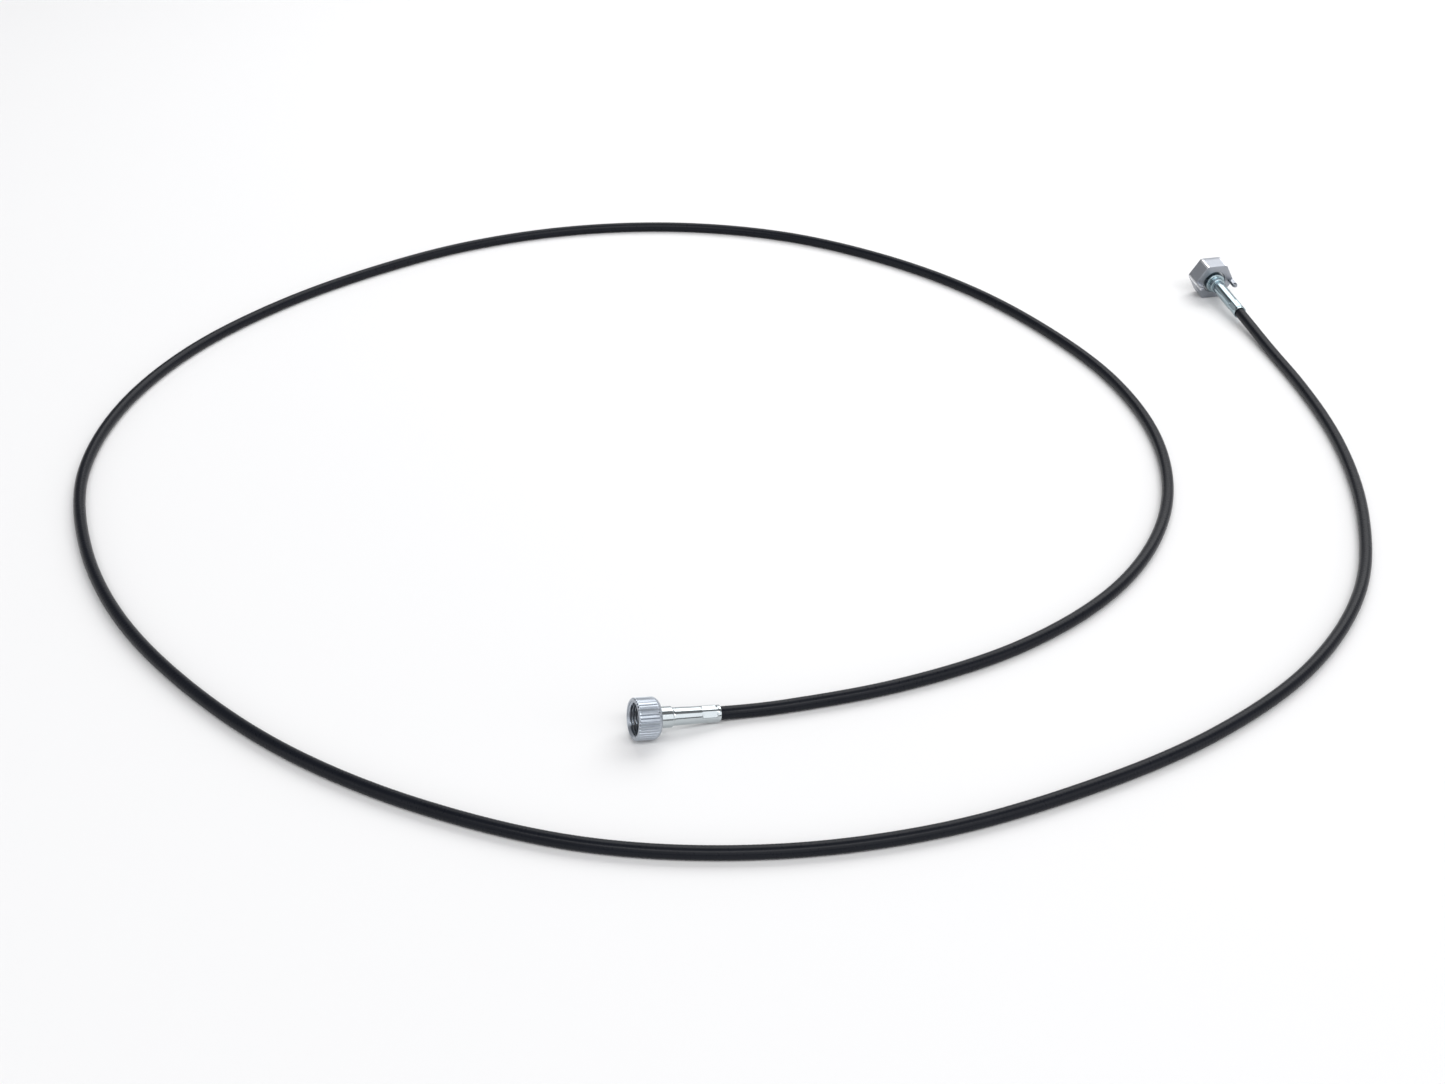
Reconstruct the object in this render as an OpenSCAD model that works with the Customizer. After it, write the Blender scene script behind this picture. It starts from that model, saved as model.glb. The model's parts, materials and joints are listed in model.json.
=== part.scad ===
// Flexible rotary drive cable: a squared inner shaft turns inside a lined and
// armoured black casing, which has a ferrule and a union nut at each end.
// Everything is in millimetres, lying on the plane z = 0.
// Each end has its own axis, and "depth" is measured along that axis from the
// mouth of its nut towards the cable.

/* [Casing] */
// Wall of the black sheath
sheath_wall = 0.85; // [0.6:0.05:1.2]
// Wall of the wound steel armour
armour_wall = 0.55; // [0.4:0.05:0.7]
// Wall of the slippery plastic liner
liner_wall = 0.3; // [0.25:0.05:0.5]
// Gap between one layer and the next
layer_gap = 0.05; // [0.03:0.01:0.1]

/* [Inner shaft] */
// Diameter of the wound shaft
shaft_d = 3.2; // [2.6:0.1:4]
// Diameter of the strand at its middle
strand_d = 1.9; // [1.4:0.1:2.3]
// Gap between the shaft and the liner
shaft_gap = 0.2; // [0.1:0.05:0.4]
// Size across the flats of the square drive tips
square_af = 2.6; // [2.2:0.1:3.2]
// Wall of each tip's round journal, outside the shaft's socket
journal_wall = 0.5; // [0.4:0.05:0.7]
// Depth of the socket that holds the shaft's end
socket_depth = 5; // [4:0.5:7]
// How far the whole shaft can float each way
float_travel = 0.8; // [0.5:0.1:1]
// Thickness of the retaining clips
clip_t = 0.8; // [0.6:0.1:1]

/* [Ferrules] */
// Wall of each ferrule's tube at its cable end
tube_wall = 0.8; // [0.6:0.05:1]
// Extra diameter of the knurled end's tube at its front
tube_taper = 0.5; // [0:0.1:0.8]
// How deep the flats of the hexagonal crimps are pressed in
crimp_depth = 0.3; // [0.1:0.05:0.4]
// Length of the round lip behind each crimp
lip_len = 2; // [1.5:0.5:3]
// Thickness of the flange that each nut pulls on
flange_t = 1.8; // [1.5:0.1:2.5]
// Wall of each guide bush
bush_wall = 0.85; // [0.7:0.05:1.05]
// Length of each guide bush, without its head
bush_len = 8; // [6:0.5:10]
// How far each bush's head stands out
bush_head_step = 0.7; // [0.4:0.1:1]
// Thickness of each bush's head
bush_head_t = 0.8; // [0.6:0.1:1]
// Gap of the moving fits
running_gap = 0.05; // [0.03:0.01:0.08]

/* [Seals and slip washers] */
// Thickness of the rubber sealing rings
seal_t = 1; // [0.8:0.1:1.2]
// Gap between a sealing ring and its bush's head
seal_gap = 0.5; // [0.1:0.1:1]
// Thickness of the slip washers
washer_t = 0.5; // [0.4:0.1:0.8]
// Gap between a slip washer and its collar
washer_gap = 0.2; // [0.1:0.05:0.4]

/* [Knurled nut, M18 x 1.5] */
// Diameter of its thread
knurled_thread_d = 18; // [15:0.5:22]
// Wall outside the thread's relief, over the ribs
knurled_wall = 1.65; // [1.35:0.05:3]
// Length of the nut
knurled_len = 12.7; // [12:0.1:18]
// Length of the rounded shoulder at its rear
knurled_shoulder = 1.6; // [1:0.1:2.5]
// Number of ribs
rib_count = 36; // [24:1:48]
// Depth of the grooves between the ribs
rib_depth = 0.45; // [0.3:0.05:0.6]
// Gap between its thread and its ferrule's flange
knurled_flange_gap = 0.3; // [0.1:0.1:0.6]
// How far the collar that carries the nut stands out from the tube
knurled_collar_step = 0.8; // [0.5:0.1:1.3]
// Gap between that collar and the nut's rear hole
knurled_rear_gap = 0.2; // [0.1:0.05:0.5]
// How far the collar shows behind the nut
knurled_collar_out = 7.4; // [5:0.1:9]
// How far the ferrule shows behind the nut
knurled_ferrule_out = 32.9; // [28:0.1:40]
// Length of the hexagonal crimp
knurled_crimp_len = 8.5; // [6:0.5:10.5]

/* [Hexagonal nut, M22 x 1.5] */
// Diameter of its thread
hex_thread_d = 22; // [20:0.5:27]
// Wall outside the thread's relief, at the middle of a flat
hex_wall = 1.9; // [1.5:0.1:4]
// Length of the nut
hex_len = 13.3; // [11:0.1:16]
// Gap between its thread and its ferrule's flange
hex_flange_gap = 0.5; // [0.1:0.1:0.8]
// How far the collar that carries the nut stands out from the second one
hex_collar_step = 1.5; // [1:0.1:1.8]
// How far the second collar stands out from the tube
hex_step = 1.05; // [0.6:0.05:1.3]
// Gap between the collar and the nut's rear hole
hex_rear_gap = 1.2; // [0.2:0.1:1.5]
// How far the collar shows behind the nut
hex_collar_out = 2.5; // [1.5:0.5:4]
// How far the second collar shows behind the nut
hex_step_out = 6.4; // [5:0.1:8]
// How far the ferrule shows behind the nut
hex_ferrule_out = 43; // [35:0.5:52]
// Length of the hexagonal crimp
hex_crimp_len = 8.5; // [8:0.5:14]
// Length of the two sealing ears
ear_len = 8.5; // [5:0.5:10]
// Width of the sealing ears
ear_w = 2.4; // [2:0.1:5.5]
// Depth of the sealing ears, in from the corner
ear_depth = 3.8; // [3.4:0.1:4.1]
// Diameter of the sealing wire's hole in each ear
ear_hole_d = 2.2; // [1.2:0.1:2.4]

/* [Nut walls] */
// Thickness of the inward lip at the back of each nut
nut_lip = 2; // [1.5:0.1:2.5]
// Length of the chamfer at the mouth of each nut
lead_in = 1; // [0.6:0.1:1.4]
// Full thread, from the chamfer to the relief
thread_len = 3.8; // [3:0.1:4.6]

/* [Hidden] */
$fn = 64;
KNURLED = 0;
HEX = 1;

// Each end's place on the floor plan at the mouth of its nut, the compass
// heading that the mouth faces, and how far it is tilted up
end_xy = [[-207.9, -261.3], [193.2, 268.7]];
end_heading = [199, 103];
end_tilt = [9.5, 6.5];

// The free cable's route on the floor, from the knurled end to the hex end
ROUTE_XY = [[-131, -239], [-74, -222], [1, -183], [62, -124], [100, -49], [112, 34],
    [99, 117], [65, 194], [18, 263], [-43, 320], [-116, 362], [-198, 380], [-282, 373],
    [-360, 343], [-428, 294], [-486, 234], [-532, 161], [-556, 82], [-557, -2],
    [-533, -84], [-494, -157], [-440, -222], [-376, -277], [-303, -318], [-223, -344],
    [-139, -348], [-67, -335], [10, -304], [83, -261], [145, -205], [191, -134],
    [216, -54], [226, 29], [222, 116], [215, 165]];
// How far the route's last point still hangs above the floor
last_point_lift = 0.5;
// Swept rings in each span of the route, and corners in each ring
rings_per_span = 2;
ring_sides = 8;

// Small gaps and edges
axial_play = 0.05;      // along the axis, on each side of a piece
press_gap = 0.02;       // between a bush and its seat
clip_gap = 0.3;         // between a clip and its chamber
float_gap = 0.2;        // left at the end of the shaft's float
seal_inset = 0.2;       // from a flange's edge in to its sealing ring
tip_inset = 0.1;        // from the end of a thread to the tip behind it
thread_height = 0.8;    // of a thread 1.5 pitch
relief_gap = 0.1;       // between a thread and its relief
mouth_gap = 0.4;        // between a thread and the edge of its nut's mouth
rim_chamfer = 0.5;      // on collars and on the ferrules' rear ends
hex_bevel = 0.6;        // on the hexagon at its mouth
shoulder_drop = 0.4;    // at the middle of the knurled nut's shoulder
chamber_step = 0.3;     // from a bush's seat out to the chamber behind it
groove_depth = 0.6;     // of a journal's groove
journal_web = 0.35;     // between that groove and the shaft's socket
journal_lead = 0.3;     // of a journal in front of its bush
corner_share = 1.23;    // across a drive square's rounded corners, to its flats
ear_root = 1;           // of each sealing ear inside the nut

// Radii of the shaft and of the layers round it, from the inside out
strand_r = strand_d / 2;
shaft_r = shaft_d / 2;
liner_bore_r = shaft_r + shaft_gap;
liner_r = liner_bore_r + liner_wall;
armour_bore_r = liner_r + layer_gap;
armour_r = armour_bore_r + armour_wall;
sheath_bore_r = armour_r + layer_gap;
sheath_r = sheath_bore_r + sheath_wall;

// Radii inside the ferrules
journal_r = shaft_r + journal_wall;
groove_r = journal_r - groove_depth;
bush_bore_r = journal_r + running_gap;
bush_r = bush_bore_r + bush_wall;
bush_head_r = bush_r + bush_head_step;
chamber_r = bush_r + chamber_step;
casing_seat_r = sheath_r + layer_gap;

// Radii outside the ferrules
tube_r = casing_seat_r + tube_wall;
tube_front_r = [tube_r + tube_taper / 2, tube_r];
hex_step_r = tube_r + hex_step;
collar_r = [tube_front_r[KNURLED] + knurled_collar_step, hex_step_r + hex_collar_step];

// Radii of the nuts, and of the flanges that pass through their threads
thread_r = [knurled_thread_d / 2, hex_thread_d / 2];
minor_r = [for (r = thread_r) r - thread_height];
relief_r = [for (r = thread_r) r + relief_gap];
flange_r = minor_r - [knurled_flange_gap, hex_flange_gap];
rear_hole_r = collar_r + [knurled_rear_gap, hex_rear_gap];
knurled_r = relief_r[KNURLED] + knurled_wall;
hex_flat_r = relief_r[HEX] + hex_wall;
hex_corner_r = hex_flat_r / cos(30);

// Depths, counted from the mouth of each nut
nut_len = [knurled_len, hex_len];
thread_end = lead_in + thread_len;
tip_front = thread_end + tip_inset;
lip_front = [for (len = nut_len) len - nut_lip];
flange_rear = [for (d = lip_front) d - washer_t - 2 * axial_play];
flange_front = [for (d = flange_rear) d - flange_t];
bush_rear = [for (d = flange_front) d + bush_len];
clip_front = [for (d = bush_rear) d + float_travel];
groove_front = [for (d = clip_front) d - axial_play];
groove_rear = [for (d = clip_front) d + clip_t + axial_play];
socket_front = [for (d = groove_rear) d + journal_web];
journal_rear = [for (d = socket_front) d + socket_depth];
casing_front = [for (d = journal_rear) d + float_travel + float_gap];
ferrule_rear = nut_len + [knurled_ferrule_out, hex_ferrule_out];
shaft_rear = [for (d = ferrule_rear) d - float_travel - 2 * float_gap];

// The knurled nut rests on the rear edge of its ribs, the hex nut on the rear
// edge of one flat
rest_r = [knurled_r, hex_flat_r];
rest_depth = [knurled_len - knurled_shoulder, hex_len];
mouth = [for (end = [KNURLED, HEX]) concat(end_xy[end],
    rest_r[end] * cos(end_tilt[end]) + rest_depth[end] * sin(end_tilt[end]))];
facing = [for (end = [KNURLED, HEX]) way(end_heading[end], end_tilt[end])];

// A unit vector from a compass heading and an upward tilt
function way(heading, tilt) =
    [cos(heading) * cos(tilt), sin(heading) * cos(tilt), sin(tilt)];
// The point at a depth on an end's axis
function on_axis(end, depth) = mouth[end] - depth * facing[end];
function unit(v) = v / norm(v);

// The cable's knots: where it leaves one ferrule, its route, and where it
// enters the other
KNOTS = concat([on_axis(KNURLED, ferrule_rear[KNURLED])],
    [for (i = [0:len(ROUTE_XY) - 1])
        concat(ROUTE_XY[i], sheath_r + (i == len(ROUTE_XY) - 1 ? last_point_lift : 0))],
    [on_axis(HEX, ferrule_rear[HEX])]);
last_knot = len(KNOTS) - 1;
// The direction at a knot leans towards its shorter side, as on a round arc,
// and is level at every knot that lies on the floor
function knot_way(i) =
    i == 0 ? -facing[KNURLED] : i == last_knot ? facing[HEX] :
    let (back = KNOTS[i] - KNOTS[i - 1], on = KNOTS[i + 1] - KNOTS[i],
        lean = unit(back) * norm(on) + unit(on) * norm(back))
    unit(i == last_knot - 1 ? lean : [lean[0], lean[1], 0]);
// A cubic between two points with a direction at each, and its own direction
function cubic(p, u, q, v, t) =
    (2 * t ^ 3 - 3 * t ^ 2 + 1) * p + (t ^ 3 - 2 * t ^ 2 + t) * u
    + (3 * t ^ 2 - 2 * t ^ 3) * q + (t ^ 3 - t ^ 2) * v;
function cubic_way(p, u, q, v, t) =
    unit((6 * t ^ 2 - 6 * t) * (p - q) + (3 * t ^ 2 - 4 * t + 1) * u
        + (3 * t ^ 2 - 2 * t) * v);
// Each station is a centre and a direction
STATIONS = concat(
    [[on_axis(KNURLED, casing_front[KNURLED]), -facing[KNURLED]]],
    [for (i = [0:last_knot - 1])
        let (p = KNOTS[i], q = KNOTS[i + 1], span = norm(q - p),
            u = span * knot_way(i), v = span * knot_way(i + 1))
        for (k = [0:rings_per_span - 1])
            let (t = k / rings_per_span) [cubic(p, u, q, v, t), cubic_way(p, u, q, v, t)]],
    [[KNOTS[last_knot], facing[HEX]], [on_axis(HEX, casing_front[HEX]), facing[HEX]]]);
// The shaft's curved stretch leaves out the straight ends inside the ferrules
SHAFT_STATIONS = [for (i = [1:len(STATIONS) - 2]) STATIONS[i]];

function ring(station, r) =
    let (side = unit(cross([0, 0, 1], station[1])), up = cross(station[1], side))
    [for (i = [0:ring_sides - 1])
        let (a = 360 * i / ring_sides) station[0] + r * (cos(a) * side + sin(a) * up)];
// Two triangles for each step along and round the surface
function skin(rings, first, inward) =
    [for (i = [0:rings - 2], j = [0:ring_sides - 1])
        let (a = first + i * ring_sides + j, b = first + i * ring_sides + (j + 1) % ring_sides,
            c = b + ring_sides, d = a + ring_sides)
        each inward ? [[a, b, c], [a, c, d]] : [[a, c, b], [a, d, c]]];
// The flat ring that closes a hollow end
function rim(outer, inner, flip) =
    [for (j = [0:ring_sides - 1])
        let (k = (j + 1) % ring_sides, a = outer + j, b = outer + k, c = inner + k, d = inner + j)
        each flip ? [[a, c, b], [a, d, c]] : [[a, b, c], [a, c, d]]];

module swept_tube(stations, outer_r, bore_r) {
    rings = len(stations);
    inner = rings * ring_sides;
    last = (rings - 1) * ring_sides;
    polyhedron(concat([for (s = stations) each ring(s, outer_r)],
        [for (s = stations) each ring(s, bore_r)]),
        concat(skin(rings, 0, false), skin(rings, inner, true),
            rim(0, inner, false), rim(last, inner + last, true)));
}

module swept_rod(stations, r) {
    rings = len(stations);
    last = (rings - 1) * ring_sides;
    polyhedron([for (s = stations) each ring(s, r)],
        concat(skin(rings, 0, false), [[for (j = [0:ring_sides - 1]) j]],
            [[for (j = [ring_sides - 1:-1:0]) last + j]]));
}

// Puts a piece drawn along +Z, as depth, on an end's axis
module at_end(end) {
    translate(mouth[end]) rotate([0, 90 + end_tilt[end], end_heading[end] + 180]) children();
}

module disc(r, bore_r, from, to) {
    translate([0, 0, from]) difference() {
        cylinder(r = r, h = to - from);
        translate([0, 0, -1]) cylinder(r = bore_r, h = to - from + 2);
    }
}

// The casing
module outer_sheath() {
    color("#26282b") swept_tube(STATIONS, sheath_r, sheath_bore_r);
}
module steel_armour() {
    color("#8d9196") swept_tube(STATIONS, armour_r, armour_bore_r);
}
module inner_liner() {
    color("#e8e6de") swept_tube(STATIONS, liner_r, liner_bore_r);
}
module shaft_winding() {
    color("#a8abae") swept_tube(SHAFT_STATIONS, shaft_r, strand_r + layer_gap);
}
module shaft_strand() {
    color("#9a9da0") swept_rod(SHAFT_STATIONS, strand_r);
}

// The turned outside of a ferrule, as [depth, radius] steps, with its stepped
// bore and its hexagonal crimp
module ferrule(end, outline, crimp_len) {
    rear = ferrule_rear[end];
    bottom = flange_front[end];
    crimp_front = rear - lip_len - crimp_len;
    difference() {
        rotate_extrude() polygon(concat([[0, bottom]],
            [for (step = outline) [step[1], step[0]]],
            [[tube_r, rear - rim_chamfer], [tube_r - rim_chamfer, rear], [0, rear]]));
        translate([0, 0, bottom - 1]) cylinder(r = bush_r + press_gap, h = rear - bottom + 2);
        translate([0, 0, bush_rear[end]]) cylinder(r = chamber_r, h = rear);
        translate([0, 0, casing_front[end]]) cylinder(r = casing_seat_r, h = rear);
        translate([0, 0, crimp_front]) difference() {
            cylinder(r = 2 * tube_r, h = crimp_len);
            translate([0, 0, -1]) rotate(30)
                cylinder(r = (tube_r - crimp_depth) / cos(30), h = crimp_len + 2, $fn = 6);
        }
    }
}

module guide_bush(end) {
    head_front = flange_front[end] - bush_head_t;
    color("#c9a35a") at_end(end) {
        disc(bush_r, bush_bore_r, flange_front[end], bush_rear[end]);
        disc(bush_head_r, bush_bore_r, head_front, flange_front[end]);
    }
}

module sealing_ring(end) {
    color("#1c1c1c") at_end(end)
        disc(flange_r[end] - seal_inset, bush_head_r + seal_gap,
            flange_front[end] - seal_t, flange_front[end]);
}

module slip_washer(end) {
    front = flange_rear[end] + axial_play;
    color("#b9bcc0") at_end(end)
        disc(flange_r[end], collar_r[end] + washer_gap, front, front + washer_t);
}

// A split ring that sits in the journal's groove and stops the shaft's float
module retaining_clip(end) {
    clip_r = chamber_r - clip_gap;
    bore_r = groove_r + running_gap;
    color("#7c8085") at_end(end) difference() {
        disc(clip_r, bore_r, clip_front[end], clip_front[end] + clip_t);
        translate([0, -bore_r, clip_front[end] - 1]) cube([clip_r + 1, 2 * bore_r, clip_t + 2]);
    }
}

// The square nose with its journal, groove and the socket for the wound shaft
module drive_tip(end) {
    square_rear = flange_front[end] - bush_head_t - journal_lead;
    square_len = square_rear - tip_front;
    color("#b4b7ba") at_end(end) {
        intersection() {
            translate([-square_af / 2, -square_af / 2, tip_front])
                cube([square_af, square_af, square_len]);
            translate([0, 0, tip_front - 1])
                cylinder(d = square_af * corner_share, h = square_len + 2);
        }
        difference() {
            translate([0, 0, square_rear])
                cylinder(r = journal_r, h = journal_rear[end] - square_rear);
            disc(2 * journal_r, groove_r, groove_front[end], groove_rear[end]);
            translate([0, 0, socket_front[end]]) cylinder(r = shaft_r, h = socket_depth + 1);
        }
    }
}

// The straight end of the wound shaft, from the tip's socket to the cable
module shaft_end(end) {
    color("#a8abae") at_end(end) translate([0, 0, socket_front[end]])
        cylinder(r = shaft_r, h = shaft_rear[end] - socket_front[end]);
}

// The stepped bore of a union nut: lead-in, thread, relief and rear hole
module nut_bore(end) {
    mouth_r = thread_r[end] + mouth_gap;
    rotate_extrude() polygon([[0, -1], [mouth_r, -1], [mouth_r, 0],
        [minor_r[end], lead_in], [minor_r[end], thread_end],
        [relief_r[end], thread_end], [relief_r[end], lip_front[end]],
        [rear_hole_r[end], lip_front[end]], [rear_hole_r[end], nut_len[end] + 1],
        [0, nut_len[end] + 1]]);
}

// The knurled end
module knurled_end_ferrule() {
    r = collar_r[KNURLED];
    collar_rear = knurled_len + knurled_collar_out;
    crimp_front = ferrule_rear[KNURLED] - lip_len - knurled_crimp_len;
    color("#d3d7da") at_end(KNURLED) ferrule(KNURLED, [
        [flange_front[KNURLED], flange_r[KNURLED]],
        [flange_rear[KNURLED], flange_r[KNURLED]],
        [flange_rear[KNURLED], r],
        [collar_rear - rim_chamfer, r],
        [collar_rear, r - rim_chamfer],
        [collar_rear, tube_front_r[KNURLED]],
        [crimp_front, tube_r]], knurled_crimp_len);
}
module knurled_end_bush() { guide_bush(KNURLED); }
module knurled_end_seal() { sealing_ring(KNURLED); }
module knurled_end_washer() { slip_washer(KNURLED); }
module knurled_end_clip() { retaining_clip(KNURLED); }
module knurled_end_tip() { drive_tip(KNURLED); }
module knurled_end_shaft() { shaft_end(KNURLED); }
module knurled_nut() {
    pitch = 360 / rib_count;
    shoulder_front = knurled_len - knurled_shoulder;
    shoulder_middle = shoulder_front + knurled_shoulder / 2;
    // A rib's top and the groove after it, as [share of the pitch, share of the depth]
    rib = [[-0.3, 0], [0.3, 0], [0.42, 1], [0.58, 1]];
    color("#d9dcdf") at_end(KNURLED) difference() {
        intersection() {
            linear_extrude(height = knurled_len) polygon([
                for (i = [0:rib_count - 1], step = rib) (knurled_r - step[1] * rib_depth)
                    * [cos(pitch * (i + step[0])), sin(pitch * (i + step[0]))]]);
            rotate_extrude() polygon([[0, 0], [knurled_r - rim_chamfer, 0],
                [knurled_r + rim_chamfer, 2 * rim_chamfer],
                [knurled_r + rim_chamfer, shoulder_front - rim_chamfer],
                [knurled_r - shoulder_drop, shoulder_middle],
                [knurled_r - knurled_shoulder, knurled_len], [0, knurled_len]]);
        }
        nut_bore(KNURLED);
    }
}

// The hexagonal end
module hex_end_ferrule() {
    r = collar_r[HEX];
    collar_rear = hex_len + hex_collar_out;
    step_rear = hex_len + hex_step_out;
    color("#c2ccd0") at_end(HEX) ferrule(HEX, [
        [flange_front[HEX], flange_r[HEX]],
        [flange_rear[HEX], flange_r[HEX]],
        [flange_rear[HEX], r],
        [collar_rear - rim_chamfer, r],
        [collar_rear, r - rim_chamfer],
        [collar_rear, hex_step_r],
        [step_rear - rim_chamfer, hex_step_r],
        [step_rear, hex_step_r - rim_chamfer],
        [step_rear, tube_front_r[HEX]]], hex_crimp_len);
}
module hex_end_bush() { guide_bush(HEX); }
module hex_end_seal() { sealing_ring(HEX); }
module hex_end_washer() { slip_washer(HEX); }
module hex_end_clip() { retaining_clip(HEX); }
module hex_end_tip() { drive_tip(HEX); }
module hex_end_shaft() { shaft_end(HEX); }

// A sealing ear carries one corner of the hexagon on towards the cable. It has
// its root inside the nut, and ends in a round eye
module sealing_ear() {
    eye_r = ear_depth / 2;
    eye = [-ear_w / 2, hex_corner_r - eye_r, hex_len + ear_len - eye_r];
    difference() {
        intersection() {
            rotate(30) cylinder(r = hex_corner_r, h = hex_len + ear_len + 1, $fn = 6);
            union() {
                translate([-ear_w / 2, hex_corner_r - ear_depth, hex_len - ear_root])
                    cube([ear_w, ear_depth, ear_root + ear_len - eye_r]);
                translate(eye) rotate([0, 90, 0]) cylinder(r = eye_r, h = ear_w);
            }
        }
        translate(eye - [1, 0, 0]) rotate([0, 90, 0]) cylinder(d = ear_hole_d, h = ear_w + 2);
    }
}
module hex_nut() {
    color("#a9adb2") at_end(HEX) {
        difference() {
            rotate(30) {
                cylinder(r1 = hex_corner_r - hex_bevel, r2 = hex_corner_r, h = hex_bevel, $fn = 6);
                translate([0, 0, hex_bevel])
                    cylinder(r = hex_corner_r, h = hex_len - hex_bevel, $fn = 6);
            }
            nut_bore(HEX);
        }
        for (turn = [0, 180]) rotate(turn) sealing_ear();
    }
}

outer_sheath();
steel_armour();
inner_liner();
shaft_winding();
shaft_strand();
knurled_end_ferrule();
knurled_end_bush();
knurled_end_seal();
knurled_end_washer();
knurled_nut();
knurled_end_clip();
knurled_end_tip();
knurled_end_shaft();
hex_end_ferrule();
hex_end_bush();
hex_end_seal();
hex_end_washer();
hex_nut();
hex_end_clip();
hex_end_tip();
hex_end_shaft();
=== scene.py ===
import json
from math import asin, atan2, cos, pi, radians, sin, sqrt, tan

import bpy
from mathutils import Matrix, Vector


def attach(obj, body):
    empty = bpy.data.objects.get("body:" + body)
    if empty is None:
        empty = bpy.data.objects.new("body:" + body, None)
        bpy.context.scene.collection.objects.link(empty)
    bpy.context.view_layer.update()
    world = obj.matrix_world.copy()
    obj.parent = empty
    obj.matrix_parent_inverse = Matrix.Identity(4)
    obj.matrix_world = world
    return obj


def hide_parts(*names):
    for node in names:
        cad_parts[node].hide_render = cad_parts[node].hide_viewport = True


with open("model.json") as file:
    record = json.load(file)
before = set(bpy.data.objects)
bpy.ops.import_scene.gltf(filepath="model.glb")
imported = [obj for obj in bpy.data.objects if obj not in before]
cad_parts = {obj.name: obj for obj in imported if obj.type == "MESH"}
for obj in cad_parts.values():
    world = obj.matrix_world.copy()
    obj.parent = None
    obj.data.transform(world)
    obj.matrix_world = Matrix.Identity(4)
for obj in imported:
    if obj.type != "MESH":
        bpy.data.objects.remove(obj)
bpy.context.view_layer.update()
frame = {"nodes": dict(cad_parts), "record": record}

MM = 0.001
TURN = 2 * pi

# ---------------------------------------------------------------------------
# Camera
# ---------------------------------------------------------------------------

camera_data = bpy.data.cameras.new("camera")
camera_data.lens = 46.09
camera_data.sensor_width = 36
camera = bpy.data.objects.new("camera", camera_data)
camera.location = (-0.1635, -0.9875, 0.578617)
camera.rotation_euler = (radians(57.535), 0, 0)
bpy.context.scene.collection.objects.link(camera)
bpy.context.scene.camera = camera

# ---------------------------------------------------------------------------
# The two ends' axes
# ---------------------------------------------------------------------------


class CableEnd:
    """One end's axis. Depth is counted in millimetres from the nut's mouth towards the cable.

    ferrule_out is how far the ferrule stands out behind the nut.
    """

    def __init__(self, nut_joint, nut_len, ferrule_out):
        joint = next(
            j
            for j in frame["record"]["behaviour"]["joints"]
            if j["name"] == nut_joint
        )
        self.nut_len = nut_len
        self.ferrule_rear = nut_len + ferrule_out
        self.mouth = Vector(joint["pos_m"])
        self.facing = Vector(joint["axis"]).normalized()
        heading = atan2(self.facing.y, self.facing.x)
        tilt = asin(self.facing.z)
        self.place = (
            Matrix.Translation(self.mouth)
            @ Matrix.Rotation(heading + pi, 4, "Z")
            @ Matrix.Rotation(pi / 2 + tilt, 4, "Y")
            @ Matrix.Scale(MM, 4)
        )

    def on_axis(self, depth):
        return self.mouth - self.facing * depth * MM


knurled_end = CableEnd("knurled_nut_spin", nut_len=12.7, ferrule_out=32.9)
hex_end = CableEnd("hex_nut_spin", nut_len=13.3, ferrule_out=43)

# ---------------------------------------------------------------------------
# Mesh helpers
# ---------------------------------------------------------------------------


def piece(name, points, faces, finish, place=None, sharp_over=35):
    """A smooth mesh object, with sharp edges where two faces turn by more than some degrees."""
    mesh = bpy.data.meshes.new(name)
    if place is not None:
        points = [place @ Vector(p) for p in points]
    mesh.from_pydata([tuple(p) for p in points], [], faces)
    mesh.validate()
    mesh.shade_smooth()
    mesh.set_sharp_from_angle(angle=radians(sharp_over))
    made = bpy.data.objects.new(name, mesh)
    bpy.context.scene.collection.objects.link(made)
    mesh.materials.append(finish)
    return made


def skin(rings, loop=False):
    """Points and faces of a surface through rings of equally many points: a loop, or capped."""
    sides = len(rings[0])
    points = [p for ring in rings for p in ring]
    faces = []
    steps = len(rings) if loop else len(rings) - 1
    for step in range(steps):
        here = step * sides
        on = (step + 1) % len(rings) * sides
        for side in range(sides):
            beside = (side + 1) % sides
            faces.append((here + side, here + beside, on + beside, on + side))
    if not loop:
        faces.append(tuple(reversed(range(sides))))
        last = (len(rings) - 1) * sides
        faces.append(tuple(range(last, last + sides)))
    return points, faces


def even_angles(sides):
    return [TURN * i / sides for i in range(sides)]


def turned(outline, angles, radius_at):
    """Rings round the axis, one for each (depth, radius) of an outline, shaped by radius_at."""
    rings = []
    for depth, radius in outline:
        ring = []
        for angle in angles:
            reach = radius_at(angle, depth, radius)
            ring.append((reach * cos(angle), reach * sin(angle), depth))
        rings.append(ring)
    return rings


def eased(outline, reach=0.25, steps=3, most=0.45):
    """A closed outline with its corners rounded over a reach, and at most a share of a side."""
    soft = []
    for i, corner in enumerate(outline):
        corner = Vector(corner)
        back = Vector(outline[i - 1]) - corner
        on = Vector(outline[(i + 1) % len(outline)]) - corner
        cut_back = min(reach, back.length * most)
        cut_on = min(reach, on.length * most)
        start = corner + back.normalized() * cut_back
        end = corner + on.normalized() * cut_on
        for k in range(steps + 1):
            t = k / steps
            soft.append(
                tuple((1 - t) ** 2 * start + 2 * t * (1 - t) * corner + t**2 * end)
            )
    return soft


# Just under 1, so that a whole count with a trace more isn't rounded up
ROUND_UP = 0.999


def divided(outline, longest):
    """A closed outline with its sides cut into steps no longer than a length along the axis."""
    fine = []
    for i, here in enumerate(outline):
        on = outline[(i + 1) % len(outline)]
        parts = max(1, int(abs(on[0] - here[0]) / longest + ROUND_UP))
        for k in range(parts):
            t = k / parts
            fine.append((here[0] + (on[0] - here[0]) * t, here[1] + (on[1] - here[1]) * t))
    return fine


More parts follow.
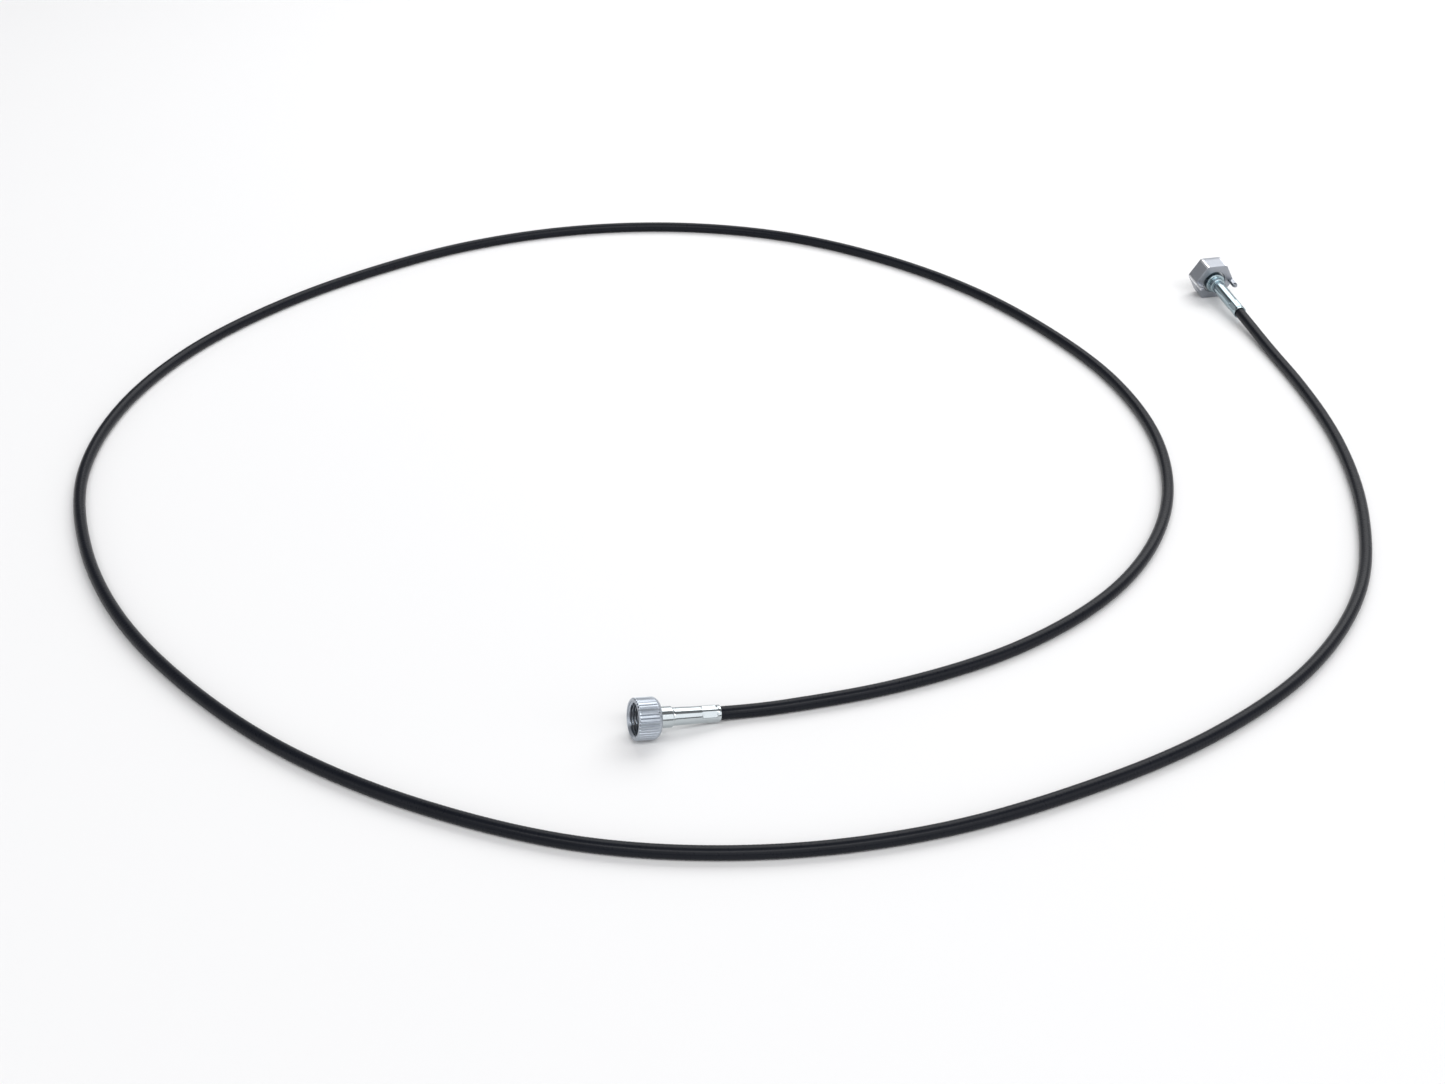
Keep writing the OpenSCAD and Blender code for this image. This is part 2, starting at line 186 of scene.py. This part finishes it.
def ramp(x, start, end):
    """0 before start, 1 after end, and smooth in between."""
    t = min(max((x - start) / (end - start), 0), 1)
    return t * t * (3 - 2 * t)


# ---------------------------------------------------------------------------
# Shader helper
# ---------------------------------------------------------------------------


class Socket:
    """A shader socket. Arithmetic on it adds Math nodes, and add() makes any other node."""

    def __init__(self, tree, output=None):
        self.tree = tree
        self.output = output

    def add(self, kind, inputs=None, out=0, stops=None, **settings):
        node = self.tree.nodes.new("ShaderNode" + kind)
        for name, value in settings.items():
            setattr(node, name, value)
        if stops:
            colours = node.color_ramp.elements
            while len(colours) < len(stops):
                colours.new(1)
            for element, (position, colour) in zip(colours, stops):
                element.position = position
                element.color = (*colour, 1)
        for name, value in (inputs or {}).items():
            if isinstance(value, Socket):
                self.tree.links.new(value.output, node.inputs[name])
            else:
                node.inputs[name].default_value = value
        return Socket(self.tree, node.outputs[out]) if node.outputs else None

    def math(self, operation, *values):
        return self.add("Math", dict(enumerate(values)), operation=operation)

    def __add__(self, other):
        return self.math("ADD", self, other)

    __radd__ = __add__

    def __sub__(self, other):
        return self.math("SUBTRACT", self, other)

    def __rsub__(self, other):
        return self.math("SUBTRACT", other, self)

    def __mul__(self, other):
        return self.math("MULTIPLY", self, other)

    __rmul__ = __mul__


def noise(place, scale, detail=2):
    """Noise with features of about 1 / scale metres, from 0 to 1 and mostly near 0.5."""
    return place.add("TexNoise", {"Vector": place, "Scale": scale, "Detail": detail})


def distance_along(place, axis):
    """How far a place lies along an axis, in metres."""
    inputs = {0: place, 1: tuple(axis)}
    return place.add("VectorMath", inputs, out="Value", operation="DOT_PRODUCT")


def distance_off(place, end):
    """How far a place lies from an end's axis, in metres."""
    off_mouth = place.add("VectorMath", {0: place, 1: tuple(end.mouth)}, operation="SUBTRACT")
    inputs = {0: off_mouth, 1: tuple(end.facing)}
    across = off_mouth.add("VectorMath", inputs, operation="CROSS_PRODUCT")
    return across.add("VectorMath", {0: across}, out="Value", operation="LENGTH")


def blend_colours(share, low, high):
    """low where the share is 0 and high where it is 1, each a colour or a socket."""
    low, high = (c if isinstance(c, Socket) else (*c, 1) for c in (low, high))
    return share.add("Mix", {0: share, 6: low, 7: high}, out=2, data_type="RGBA")


def relief(height, depth, strength):
    """A normal raised by a height from 0 to 1 over a depth in metres."""
    return height.add("Bump", {"Height": height, "Distance": depth, "Strength": strength})


def finish_material(name, build):
    """A new material. build gets the place on the piece in metres and gives the shader's inputs."""
    material = bpy.data.materials.new(name)
    material.use_nodes = True
    material.node_tree.nodes.clear()
    place = Socket(material.node_tree).add("TexCoord", out="Object")
    shader = place.add("BsdfPrincipled", build(place))
    shader.add("OutputMaterial", {"Surface": shader})
    return material


# ---------------------------------------------------------------------------
# Finishes
# ---------------------------------------------------------------------------


def ribbed_pvc(place):
    """Satin black casing plastic, with a faint grain and scuffs."""
    mottle = noise(place, 70, 4)
    grain = noise(place, 3200, 2)
    scuffs = noise(place, 420, 5)
    return {
        "Base Color": blend_colours(mottle, (0.0050, 0.0060, 0.0090), (0.0085, 0.0098, 0.0138)),
        "Roughness": 0.22 + 0.14 * scuffs,
        "Normal": relief(grain + 0.6 * scuffs, 0.00003, 0.30),
        "Specular IOR Level": 0.13,
    }


def zinc_plate(axis, low, high, rough):
    """Plated turned steel: fine lathe lines round an axis under a coat that shades in colour."""

    def build(place):
        along = distance_along(place, axis)
        inputs = {"W": along, "Scale": 5200, "Detail": 2}
        lines = along.add("TexNoise", inputs, noise_dimensions="1D")
        clouds = noise(place, 130, 3)
        wear = noise(place, 900, 4)
        return {
            "Base Color": blend_colours(clouds, low, high),
            "Metallic": 1.0,
            "Roughness": rough + 0.05 * lines + 0.05 * wear,
            "Normal": relief(lines + 0.5 * wear, 0.000006, 0.5),
        }

    return build


# How far from the hexagon's axis the painted highlight at its corners starts, and where it is full,
# in metres
SHEEN_STARTS = 0.01432
SHEEN_FULL = 0.01455


def cast_zinc(place):
    """Dull die-cast alloy with a fine, slightly lumpy skin, and a painted highlight at a hexagon's
    corners, where it is brighter and smoother.
    """
    skin_grain = noise(place, 1500, 5)
    lumps = noise(place, 320, 3)
    stains = noise(place, 110, 4)
    radius = distance_off(place, hex_end)
    # Painted highlight: a mask that grows towards the hexagon's corners
    corner_sheen = radius.add("MapRange", {0: radius, 1: SHEEN_STARTS, 2: SHEEN_FULL})
    dull = blend_colours(stains, (0.29, 0.305, 0.335), (0.38, 0.40, 0.435))
    return {
        # Painted highlight: the base colour turns bright at the hexagon's corners
        "Base Color": blend_colours(corner_sheen, dull, (0.80, 0.82, 0.84)),
        "Metallic": 1.0,
        "Roughness": 0.30 + 0.22 * skin_grain - 0.16 * corner_sheen,
        "Normal": relief(skin_grain + 1.5 * lumps, 0.00007, 0.5),
    }


# How far apart the wire's turns lie, in metres
WIRE_LAY = 0.0007


def wound_wire(axis):
    """Greased wire wound round an axis."""

    def build(place):
        phase = distance_along(place, axis) * (TURN / WIRE_LAY)
        turns = phase.math("SINE", phase)
        grease = noise(place, 500, 3)
        return {
            "Base Color": blend_colours(grease, (0.30, 0.306, 0.312), (0.50, 0.51, 0.52)),
            "Metallic": 1.0,
            "Roughness": 0.25 + 0.25 * grease,
            "Normal": relief(turns, 0.00008, 0.8),
        }

    return build


def sintered_bronze(place):
    pores = noise(place, 4200, 3)
    return {
        "Base Color": blend_colours(noise(place, 600), (0.50, 0.33, 0.15), (0.70, 0.50, 0.25)),
        "Metallic": 1.0,
        "Roughness": 0.32 + 0.2 * pores,
        "Normal": relief(pores, 0.00003, 0.6),
    }


def nitrile_rubber(place):
    bloom = noise(place, 700, 4)
    return {
        "Base Color": blend_colours(bloom, (0.012, 0.012, 0.013), (0.035, 0.035, 0.036)),
        "Roughness": 0.6 + 0.2 * bloom,
        "Normal": relief(noise(place, 3600), 0.00004, 0.5),
    }


def nylon(place):
    cloud = noise(place, 260, 3)
    return {
        "Base Color": blend_colours(cloud, (0.70, 0.67, 0.58), (0.84, 0.82, 0.75)),
        "Roughness": 0.38 + 0.15 * cloud,
        "Normal": relief(noise(place, 2600), 0.00002, 0.4),
    }


def bare_steel(low, high):
    """Unplated steel between two tones, with a fine grain."""

    def build(place):
        grain = noise(place, 2400, 4)
        return {
            "Base Color": blend_colours(noise(place, 350, 3), low, high),
            "Metallic": 1.0,
            "Roughness": 0.24 + 0.2 * grain,
            "Normal": relief(grain, 0.00002, 0.5),
        }

    return build


sheath_finish = finish_material("ribbed_black_pvc", ribbed_pvc)
knurled_nut_finish = finish_material(
    "bright_zinc_nut",
    zinc_plate(knurled_end.facing, (0.35, 0.385, 0.43), (0.44, 0.475, 0.52), 0.27),
)
knurled_ferrule_finish = finish_material(
    "bright_zinc_ferrule",
    zinc_plate(knurled_end.facing, (0.44, 0.485, 0.505), (0.53, 0.57, 0.58), 0.08),
)
hex_ferrule_finish = finish_material(
    "blue_zinc_ferrule",
    zinc_plate(hex_end.facing, (0.30, 0.39, 0.43), (0.41, 0.485, 0.51), 0.09),
)
hex_nut_finish = finish_material("cast_zinc_nut", cast_zinc)

# ---------------------------------------------------------------------------
# The sheath
# ---------------------------------------------------------------------------

# Its sizes and route are in metres
SHEATH_R = 0.0036
# The free cable's way over the floor, from the knurled end to the hex end
ROUTE = [
    (-0.131, -0.239), (-0.074, -0.222), (0.001, -0.183), (0.062, -0.124), (0.100, -0.049),
    (0.112, 0.034), (0.099, 0.117), (0.065, 0.194), (0.018, 0.263), (-0.043, 0.320),
    (-0.116, 0.362), (-0.198, 0.380), (-0.282, 0.373), (-0.360, 0.343), (-0.428, 0.294),
    (-0.486, 0.234), (-0.532, 0.161), (-0.556, 0.082), (-0.557, -0.002), (-0.533, -0.084),
    (-0.494, -0.157), (-0.440, -0.222), (-0.376, -0.277), (-0.303, -0.318), (-0.223, -0.344),
    (-0.139, -0.348), (-0.067, -0.335), (0.010, -0.304), (0.083, -0.261), (0.145, -0.205),
    (0.191, -0.134), (0.216, -0.054), (0.226, 0.029), (0.222, 0.116), (0.215, 0.165),
]
# Its last point is a little higher, on the rise to the hex end's ferrule
LAST_POINT_LIFT = 0.0005
SHEATH_SIDES = 16
SHEATH_RIB_PITCH = 0.0022
SHEATH_RIB_HEIGHT = 0.00005
RINGS_PER_SHEATH_RIB = 4
CURVE_STEPS = 60
# How far the drawn sheath reaches into each ferrule, in millimetres
SEATED_DEPTH = 0.3


def cable_knots():
    """The route's points between the ferrules' rear faces, and the cable's direction at each."""
    knots = [knurled_end.on_axis(knurled_end.ferrule_rear)]
    knots += [Vector((x, y, SHEATH_R)) for x, y in ROUTE]
    knots[-1].z += LAST_POINT_LIFT
    knots.append(hex_end.on_axis(hex_end.ferrule_rear))
    last = len(knots) - 1
    ways = [-knurled_end.facing]
    for i in range(1, last):
        back = knots[i] - knots[i - 1]
        on = knots[i + 1] - knots[i]
        lean = back.normalized() * on.length + on.normalized() * back.length
        if i < last - 1:
            lean.z = 0
        ways.append(lean.normalized())
    ways.append(hex_end.facing)
    return knots, ways


def smooth_curve(knots, ways):
    """Closely spaced points on a curve through the knots, in a given direction at each."""
    curve = []
    for p, q, way_p, way_q in zip(knots, knots[1:], ways, ways[1:]):
        span = (q - p).length
        for k in range(CURVE_STEPS):
            t = k / CURVE_STEPS
            curve.append(
                (2 * t**3 - 3 * t**2 + 1) * p
                + (t**3 - 2 * t**2 + t) * span * way_p
                + (3 * t**2 - 2 * t**3) * q
                + (t**3 - t**2) * span * way_q
            )
    return curve + [knots[-1]]


def evenly_spaced(line, step):
    """Points at even distances along a line, the direction at each, and the line's length."""
    lengths = [0]
    for a, b in zip(line, line[1:]):
        lengths.append(lengths[-1] + (b - a).length)
    steps = int(lengths[-1] / step)
    centres = []
    j = 0
    for i in range(steps + 1):
        here = lengths[-1] * i / steps
        while j < len(line) - 2 and lengths[j + 1] < here:
            j += 1
        t = (here - lengths[j]) / (lengths[j + 1] - lengths[j])
        centres.append(line[j].lerp(line[j + 1], t))
    directions = []
    for i in range(len(centres)):
        back = centres[max(i - 1, 0)]
        on = centres[min(i + 1, len(centres) - 1)]
        directions.append((on - back).normalized())
    return centres, directions, lengths[-1]


def sheath():
    """The black sheath, which shows the wound armour under it as faint ribs."""
    line = [knurled_end.on_axis(knurled_end.ferrule_rear - SEATED_DEPTH)]
    line += smooth_curve(*cable_knots())
    line.append(hex_end.on_axis(hex_end.ferrule_rear - SEATED_DEPTH))
    step = SHEATH_RIB_PITCH / RINGS_PER_SHEATH_RIB
    centres, directions, length = evenly_spaced(line, step)
    rings = []
    for i, (centre, direction) in enumerate(zip(centres, directions)):
        side = Vector((0, 0, 1)).cross(direction).normalized()
        up = direction.cross(side)
        wave = 0.5 - 0.5 * cos(TURN * i / RINGS_PER_SHEATH_RIB)
        radius = SHEATH_R - SHEATH_RIB_HEIGHT * wave
        rings.append(
            [centre + radius * (cos(a) * side + sin(a) * up) for a in even_angles(SHEATH_SIDES)]
        )
    tube = piece("black_sheath", *skin(rings), sheath_finish, sharp_over=60)
    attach(tube, "casing")
    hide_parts("outer_sheath")


sheath()

# ---------------------------------------------------------------------------
# The ferrules
# ---------------------------------------------------------------------------

# The sizes of both ends are in millimetres
FERRULE_SIDES = 96
FERRULE_STEP = 0.35
TUBE_R = 4.45
CRIMP_AF = 8.3
CRIMP_LEN = 8.5
CRIMP_FRONT_EASE = 0.7
CRIMP_REAR_EASE = 0.5
LIP = 2
LIP_GROOVE_DEPTH = 0.18
LIP_GROOVE_HALF_WIDTH = 0.3
SEAT_R = 3.65
CHAMBER_R = 3.3
BUSH_R = 3.02
# Depths behind the nut's rear face
FLANGE_FRONT = -4.4
FLANGE_REAR = -2.6
BUSH_REAR = 3.6
CASING_FRONT = 11.6


def crimped(front, rear):
    """Six flats pressed into the tube between two depths, with soft ends."""

    def radius_at(angle, depth, radius):
        if radius < (SEAT_R + TUBE_R) / 2:  # the bore stays round
            return radius
        flat = CRIMP_AF / 2 / cos((angle + pi / 6) % (pi / 3) - pi / 6)
        pressed = ramp(depth, front, front + CRIMP_FRONT_EASE)
        pressed *= 1 - ramp(depth, rear - CRIMP_REAR_EASE, rear)
        return radius - pressed * max(radius - flat, 0)

    return radius_at


def ferrule(name, end, flange_r, steps, finish, node):
    """steps lead from the flange to the tube, with depths behind the nut's rear face."""
    rear = end.ferrule_rear - end.nut_len
    crimp_rear = rear - LIP
    crimp_front = crimp_rear - CRIMP_LEN
    outside = [(FLANGE_FRONT, flange_r), (FLANGE_REAR, flange_r)] + steps
    outside += [
        (crimp_front, TUBE_R),
        (crimp_rear, TUBE_R),
        (crimp_rear + LIP_GROOVE_HALF_WIDTH, TUBE_R - LIP_GROOVE_DEPTH),
        (crimp_rear + 2 * LIP_GROOVE_HALF_WIDTH, TUBE_R),
        (rear, TUBE_R),
    ]
    bore = [
        (rear, SEAT_R),
        (CASING_FRONT, SEAT_R),
        (CASING_FRONT, CHAMBER_R),
        (BUSH_REAR, CHAMBER_R),
        (BUSH_REAR, BUSH_R),
        (FLANGE_FRONT, BUSH_R),
    ]
    outline = divided(eased(outside + bore), FERRULE_STEP)
    rings = turned(outline, even_angles(FERRULE_SIDES), crimped(crimp_front, crimp_rear))
    place = end.place @ Matrix.Translation((0, 0, end.nut_len))
    made = piece(name, *skin(rings, loop=True), finish, place, sharp_over=24)
    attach(made, "casing")
    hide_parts(node)


ferrule(
    "knurled_end_crimped_ferrule",
    knurled_end,
    flange_r=7.9,
    steps=[(FLANGE_REAR, 5.5), (7.0, 5.5), (7.4, 5.1), (7.4, 4.45), (7.9, 4.7)],
    finish=knurled_ferrule_finish,
    node="knurled_end_ferrule",
)
ferrule(
    "hex_end_crimped_ferrule",
    hex_end,
    flange_r=9.7,
    steps=[
        (FLANGE_REAR, 7), (2.1, 7), (2.5, 6.6), (2.5, 5.5), (6, 5.5),
        (6.4, 5.1), (6.4, 4.25), (6.9, 4.45),
    ],
    finish=hex_ferrule_finish,
    node="hex_end_ferrule",
)

# ---------------------------------------------------------------------------
# The union nuts
# ---------------------------------------------------------------------------

NUT_LIP = 2
REAR_CHAMFER = 0.3
LIP_CHAMFER = 0.2
MOUTH_CHAMFER = 1
THREAD_PITCH = 1.5
THREAD_STEP = 0.15
THREAD_FADE = 1.2
# Shares of half a pitch, from a ridge's middle, where its flank starts and where it ends
FLANK_TOP = 0.10
FLANK_FOOT = 0.92


def threaded_bore(angles, length, rear_r, crest_r, root_r, mouth_r, thread_end):
    """A nut's bore from its rear face to its mouth, with a right-handed thread in its front."""
    lip_front = length - NUT_LIP
    outline = [(length, rear_r + REAR_CHAMFER), (length - REAR_CHAMFER, rear_r)]
    outline += [(lip_front + LIP_CHAMFER, rear_r), (lip_front, rear_r + LIP_CHAMFER)]
    steps = int(lip_front / THREAD_STEP)
    outline += [(lip_front * (1 - k / steps), root_r) for k in range(steps)]
    outline.append((0, mouth_r))

    def radius_at(angle, depth, radius):
        if radius <= crest_r:  # the lip stays round
            return radius
        turn = (depth / THREAD_PITCH - angle / TURN) % 1
        ridge = 1 - ramp(abs(2 * turn - 1), FLANK_TOP, FLANK_FOOT)
        fade = 1 - ramp(depth, thread_end - THREAD_FADE, thread_end)
        thread = root_r - (root_r - crest_r) * ridge * fade
        chamfer = mouth_r - (mouth_r - crest_r) * depth / MOUTH_CHAMFER
        return max(thread, chamfer)

    return turned(outline, angles, radius_at)


KNURLED_R = 10.75
RIB_COUNT = 36
RIB_DEPTH = 0.45
SIDES_PER_RIB = 12
# Shares of the ribs' pitch, from a rib's middle, where its side starts and where it ends
RIB_TOP = 0.27
RIB_FOOT = 0.46


def ribbed(angle, depth, radius):
    """Broad straight ribs with narrow grooves between them."""
    off_rib = abs((angle * RIB_COUNT / TURN + 0.5) % 1 - 0.5)
    return min(radius, KNURLED_R - RIB_DEPTH * ramp(off_rib, RIB_TOP, RIB_FOOT))


def knurled_nut():
    angles = even_angles(RIB_COUNT * SIDES_PER_RIB)
    outside = [(0, 10.05), (0.08, 10.25), (0.45, 10.62), (0.8, KNURLED_R), (1.2, KNURLED_R)]
    outside += [(4, KNURLED_R), (7, KNURLED_R), (10.1, KNURLED_R), (10.5, 10.70), (10.9, 10.56)]
    outside += [(11.3, 10.34), (11.7, 10.06), (12.1, 9.72), (12.4, 9.40), (12.6, 9.12)]
    outside.append((knurled_end.nut_len, 8.80))
    rings = turned(outside, angles, ribbed)
    rings += threaded_bore(
        angles,
        knurled_end.nut_len,
        rear_r=5.7,
        crest_r=8.2,
        root_r=9.1,
        mouth_r=9.4,
        thread_end=7.7,
    )
    nut = piece(
        "knurled_union_nut", *skin(rings, loop=True), knurled_nut_finish, knurled_end.place
    )
    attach(nut, "knurled_nut")
    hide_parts("knurled_nut")


HEX_APOTHEM = 13
CORNER_ROUNDING = 0.8
CORNER_R = HEX_APOTHEM / cos(pi / 6)


def hexagon(apothem, angle):
    """How far out a hexagon's edge is in a direction, with its corners rounded."""
    off = abs((angle + pi / 6) % (pi / 3) - pi / 6)
    core = apothem - CORNER_ROUNDING
    if apothem * tan(off) <= core * tan(pi / 6):
        return apothem / cos(off)
    reach = core / cos(pi / 6)
    away = pi / 6 - off
    return reach * cos(away) + sqrt(CORNER_ROUNDING**2 - (reach * sin(away)) ** 2)


EAR_SIDES = 64
EAR_HALF_WIDTH = 1.2
EAR_HALF_DEPTH = 1.9
EAR_LEN = 8.5
EAR_ROOT = 0.4
EAR_HOLE_R = 1.1
EAR_INSET = 0.1


def sealing_ear(turn):
    """A tab that carries a corner of the hexagon on, and ends in an eyelet for a sealing wire."""
    eye_y = CORNER_R - EAR_HALF_DEPTH
    eye_z = hex_end.nut_len + EAR_LEN - EAR_HALF_DEPTH
    root = EAR_LEN - EAR_HALF_DEPTH + EAR_ROOT
    angles = even_angles(EAR_SIDES)

    def section(x, inset, hole):
        """The tab's outline, or its hole's, at a place x across the tab."""
        ring = []
        for angle in angles:
            if hole:
                reach = EAR_HOLE_R + inset
            elif sin(angle) >= 0:
                reach = EAR_HALF_DEPTH - inset
            else:
                side = (EAR_HALF_DEPTH - inset) / max(abs(cos(angle)), 1e-6)
                reach = min(side, root / abs(sin(angle)))
            y = min(eye_y + reach * cos(angle), CORNER_R - abs(x) * tan(pi / 6) - EAR_INSET)
            ring.append(Vector((x, y, eye_z + reach * sin(angle))))
        return ring

    bevel = [(-1, 0.35), (-0.94, 0.18), (-0.8, 0.05), (-0.55, 0), (0, 0)]
    bevel += [(-x, inset) for x, inset in reversed(bevel[:-1])]
    rings = [section(x * EAR_HALF_WIDTH, inset, False) for x, inset in bevel]
    rings += [section(x * EAR_HALF_WIDTH, inset, True) for x, inset in reversed(bevel)]
    spin = Matrix.Rotation(turn, 4, "Z")
    return [[spin @ p for p in ring] for ring in rings]


def hex_nut():
    # Degrees over one sixth of the hexagon, closest together at its corner
    sector = [0, 6, 12, 18, 23, 26, 27.5, 28.5, 29.2, 29.7]
    sector += [30, 30.3, 30.8, 31.5, 32.5, 34, 37, 42, 48, 54]
    angles = [radians(60 * k + degree) for k in range(6) for degree in sector]
    # Depths and how far each lies inside the hexagon's flats
    outside = [(0, 0.6), (0.15, 0.38), (0.4, 0.13), (0.7, 0), (4, 0), (8, 0), (12, 0)]
    outside += [(12.75, 0), (13.0, 0.06), (13.2, 0.2), (hex_end.nut_len, 0.45)]
    rings = turned(
        outside, angles, lambda angle, depth, inset: hexagon(HEX_APOTHEM - inset, angle)
    )
    rings += threaded_bore(
        angles,
        hex_end.nut_len,
        rear_r=8.2,
        crest_r=10.2,
        root_r=11.1,
        mouth_r=11.4,
        thread_end=8.6,
    )
    points, faces = skin(rings, loop=True)
    for turn in (0, pi):
        ear_points, ear_faces = skin(sealing_ear(turn), loop=True)
        faces += [tuple(i + len(points) for i in face) for face in ear_faces]
        points += ear_points
    nut = piece("hexagonal_union_nut", points, faces, hex_nut_finish, hex_end.place)
    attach(nut, "hex_nut")
    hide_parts("hex_nut")


knurled_nut()
hex_nut()

# ---------------------------------------------------------------------------
# The pieces inside, which keep their CAD shape
# ---------------------------------------------------------------------------

bronze = finish_material("sintered_bronze", sintered_bronze)
rubber = finish_material("nitrile_rubber", nitrile_rubber)
washer_steel = finish_material("washer_steel", bare_steel((0.48, 0.49, 0.51), (0.66, 0.67, 0.69)))
spring_steel = finish_material("spring_steel", bare_steel((0.16, 0.17, 0.20), (0.30, 0.31, 0.35)))
tip_steel = finish_material("hardened_steel", bare_steel((0.44, 0.45, 0.46), (0.60, 0.61, 0.62)))
armour_steel = finish_material("armour_steel", bare_steel((0.34, 0.35, 0.37), (0.48, 0.49, 0.51)))
liner_nylon = finish_material("liner_nylon", nylon)
knurled_wire = finish_material("knurled_end_wire", wound_wire(knurled_end.facing))
hex_wire = finish_material("hex_end_wire", wound_wire(hex_end.facing))

inner_finishes = {
    "steel_armour": armour_steel,
    "inner_liner": liner_nylon,
    "shaft_winding": armour_steel,
    "shaft_strand": armour_steel,
}
for side, wire in {"knurled_end": knurled_wire, "hex_end": hex_wire}.items():
    inner_finishes[side + "_bush"] = bronze
    inner_finishes[side + "_seal"] = rubber
    inner_finishes[side + "_washer"] = washer_steel
    inner_finishes[side + "_clip"] = spring_steel
    inner_finishes[side + "_tip"] = tip_steel
    inner_finishes[side + "_shaft"] = wire
for node, finish in inner_finishes.items():
    for material_slot in frame["nodes"][node].material_slots:
        material_slot.material = finish

# ---------------------------------------------------------------------------
# Studio
# ---------------------------------------------------------------------------

FLOOR_HALF = 8
LAMPS_MIDDLE = Vector((-0.16, -0.26, 0))
WALL_LIGHT = 1.22
WALL_BLUE = 1.02


def floor_finish(place):
    return {"Base Color": (0.78, 0.78, 0.78, 1), "Roughness": 0.9, "Specular IOR Level": 0.2}


def studio_floor():
    signs = [(-1, -1), (1, -1), (1, 1), (-1, 1)]
    corners = [(FLOOR_HALF * x, FLOOR_HALF * y, 0) for x, y in signs]
    paper = finish_material("studio_paper", floor_finish)
    floor = piece("studio_floor", corners, [(0, 1, 2, 3)], paper)


def softbox(name, angle, distance, across, size, brightness):
    """A lamp panel that faces the middle, at an angle in degrees from the front horizon.

    across is how far it stands to the right, and brightness is its power for its area.
    """
    data = bpy.data.lights.new(name, "AREA")
    data.shape = "RECTANGLE"
    data.size, data.size_y = size
    data.energy = brightness * pi * size[0] * size[1]
    light = bpy.data.objects.new(name, data)
    away = Vector((0, -cos(radians(angle)), sin(radians(angle))))
    light.location = LAMPS_MIDDLE + distance * away + Vector((across, 0, 0))
    light.rotation_euler = away.to_track_quat("Z", "Y").to_euler()
    light.visible_camera = False
    bpy.context.scene.collection.objects.link(light)


def studio_walls():
    """A bright wall in front, a dark ceiling and a dimmer wall behind, for bands on the metal."""
    world = bpy.data.worlds.new("studio")
    bpy.context.scene.world = world
    world.use_nodes = True
    world.node_tree.nodes.clear()
    around = Socket(world.node_tree).add("TexCoord", out="Generated")
    sideways, depth, height = [around.add("SeparateXYZ", {0: around}, out=i) for i in range(3)]
    over = height.math("ARCTAN2", height, -1 * depth) * (1 / pi)
    # Degrees from the front horizon over the top to the rear one, and how bright it is there
    bands = [
        (0, 0.06), (8, 0.08), (12, 1.3), (68, 1.3), (73, 0.20), (104, 0.20),
        (110, 0.38), (150, 0.38), (156, 0.60), (180, 0.60),
    ]
    stops = [(angle / 180, (light, light, WALL_BLUE * light)) for angle, light in bands]
    grey = over.add("ValToRGB", {0: over}, stops=stops)
    # Left is -1 and right is 1, with the share of the light that reaches each
    sides = [(-1, 0.9), (-0.75, 0.8), (-0.6, 0.3), (-0.35, 0.3), (-0.1, 1.0), (1, 1.0)]
    half = sideways * 0.5 + 0.5
    stops = [(0.5 + 0.5 * x, (share, share, share)) for x, share in sides]
    open_side = half.add("ValToRGB", {0: half}, stops=stops)
    backdrop = grey.add("Background", {"Color": grey, "Strength": WALL_LIGHT * open_side})
    backdrop.add("OutputWorld", {"Surface": backdrop})


studio_floor()
studio_walls()
softbox("front_softbox", angle=57, distance=3.5, across=0, size=(4.5, 0.45), brightness=8.0)
softbox("rear_softbox", angle=131, distance=2.5, across=0.9, size=(2.8, 1.9), brightness=2.7)
bpy.context.scene.view_settings.view_transform = "Standard"
